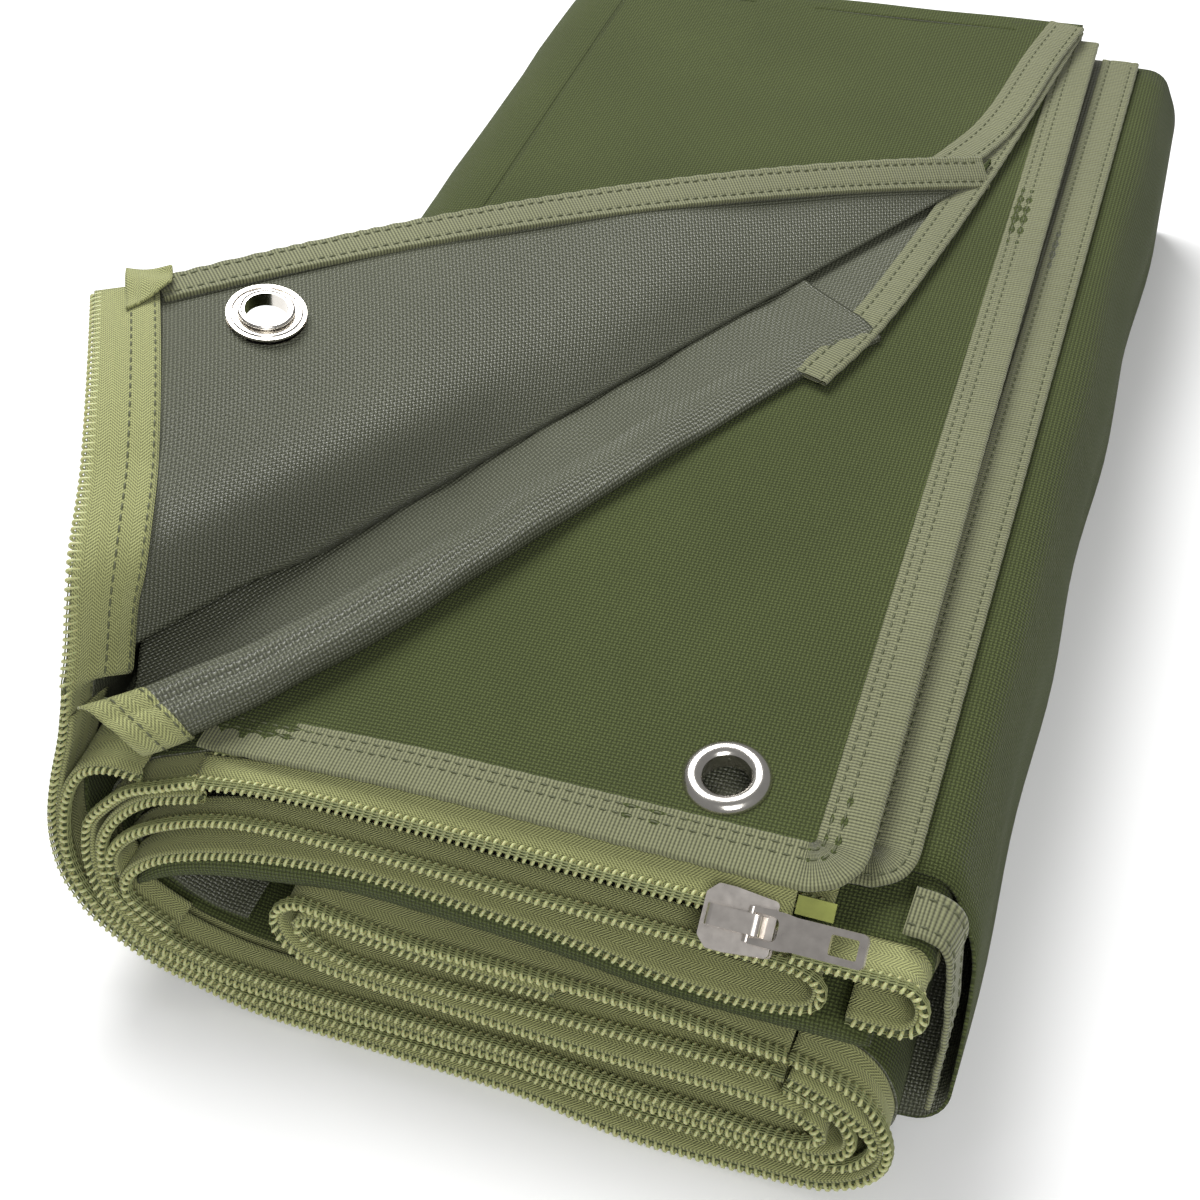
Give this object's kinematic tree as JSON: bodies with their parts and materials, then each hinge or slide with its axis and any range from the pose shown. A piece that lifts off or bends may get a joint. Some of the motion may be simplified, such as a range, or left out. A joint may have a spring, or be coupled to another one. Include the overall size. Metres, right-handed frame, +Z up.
{
  "type": "bivy sack",
  "caption": "Coated canvas bivy sack folded into a flat bundle, with bound edges, a coil zip with a sliding pull, and metal eyelets; the top corner is turned over.",
  "frame": {"origin": "on the ground, under the middle of the folded bundle", "axes": "+X along the zip edges, +Y from the zip edges to the folded back, +Z up"},
  "size_m": [0.2764, 0.4303, 0.1275],
  "materials": {
    "canvas_woven_side": "coarse woven olive canvas, matte",
    "canvas_coated_side": "dark coated face with a ribbed weave and a soft sheen",
    "binding": "grey-olive ribbed binding tape with two rows of stitching",
    "zip_tape": "olive herringbone zip tape",
    "zip_coil": "moulded nylon coil, satin",
    "eyelet_nickel": "polished nickel plate",
    "slider_nickel": "bright nickel plate",
    "spring_steel": "plain steel",
    "end_film": "stiff glossy film"
  },
  "bodies": {
    "bundle": {"base_back_fold_inner": "canvas_coated_side", "base_back_fold_outer": "canvas_woven_side", "core_inner_cloth": "canvas_coated_side", "core_inner_zip_coil": "zip_coil", "core_inner_zip_tape": "zip_tape", "core_outer_cloth": "canvas_woven_side", "core_outer_zip_coil": "zip_coil", "core_outer_zip_tape": "zip_tape", "foot_end_cloth": "canvas_woven_side", "fourth_fold_cloth": "canvas_woven_side", "fourth_fold_zip_coil": "zip_coil", "fourth_fold_zip_tape": "zip_tape", "fourth_panel_binding": "binding", "fourth_panel_cloth": "canvas_woven_side", "fourth_panel_zip_coil": "zip_coil", "fourth_panel_zip_tape": "zip_tape", "insertion_pin": "spring_steel", "loop_fold_cloth": "canvas_woven_side", "loop_fold_zip_coil": "zip_coil", "loop_fold_zip_tape": "zip_tape", "outer_fold_cloth": "canvas_woven_side", "outer_fold_zip_coil": "zip_coil", "outer_fold_zip_tape": "zip_tape", "rear_loop_cloth": "canvas_woven_side", "rear_loop_zip_coil": "zip_coil", "rear_loop_zip_tape": "zip_tape", "right_side_binding": "binding", "right_side_cloth": "canvas_woven_side", "second_fold_cloth": "canvas_coated_side", "second_fold_zip_coil": "zip_coil", "second_fold_zip_tape": "zip_tape", "second_panel_binding": "binding", "second_panel_cloth": "canvas_coated_side", "second_panel_roll": "canvas_coated_side", "tape_end_film": "end_film", "third_eyelet": "eyelet_nickel", "third_eyelet_washer": "eyelet_nickel", "third_fold_cloth": "canvas_woven_side", "third_fold_zip_coil": "zip_coil", "third_fold_zip_tape": "zip_tape", "third_panel_binding": "binding", "third_panel_cloth": "canvas_woven_side", "third_panel_zip_coil": "zip_coil", "third_panel_zip_tape": "zip_tape", "top_back_fold_inner": "canvas_coated_side", "top_back_fold_outer": "canvas_woven_side", "top_panel_binding": "binding", "top_panel_cloth": "canvas_woven_side"},
    "top_corner": {"corner_binding": "binding", "corner_cloth": "canvas_woven_side", "corner_eyelet": "eyelet_nickel", "corner_eyelet_washer": "eyelet_nickel", "corner_tape_end": "zip_tape", "corner_zip_coil": "zip_coil", "corner_zip_tape": "zip_tape"},
    "slider": {"slider_body": "slider_nickel", "slider_crown": "slider_nickel", "lock_spring": "spring_steel"},
    "pull_tab": {"pull_tab": "slider_nickel"}
  },
  "joints": [
    {"name": "corner_fold", "type": "hinge", "parent": "bundle", "child": "top_corner", "pos_m": [-0.104, -0.177, 0.086], "axis": [0.5205, 0.8538, -0.0129], "range_deg": [-8, 55]},
    {"name": "slider_travel", "type": "slide", "parent": "bundle", "child": "slider", "axis": [-1, 0, 0], "range_m": [0, 0.12]},
    {"name": "pull_pivot", "type": "hinge", "parent": "slider", "child": "pull_tab", "pos_m": [0.076, -0.18973, 0.07349], "axis": [0, -0.866, -0.5], "range_deg": [0, 120]}
  ]
}
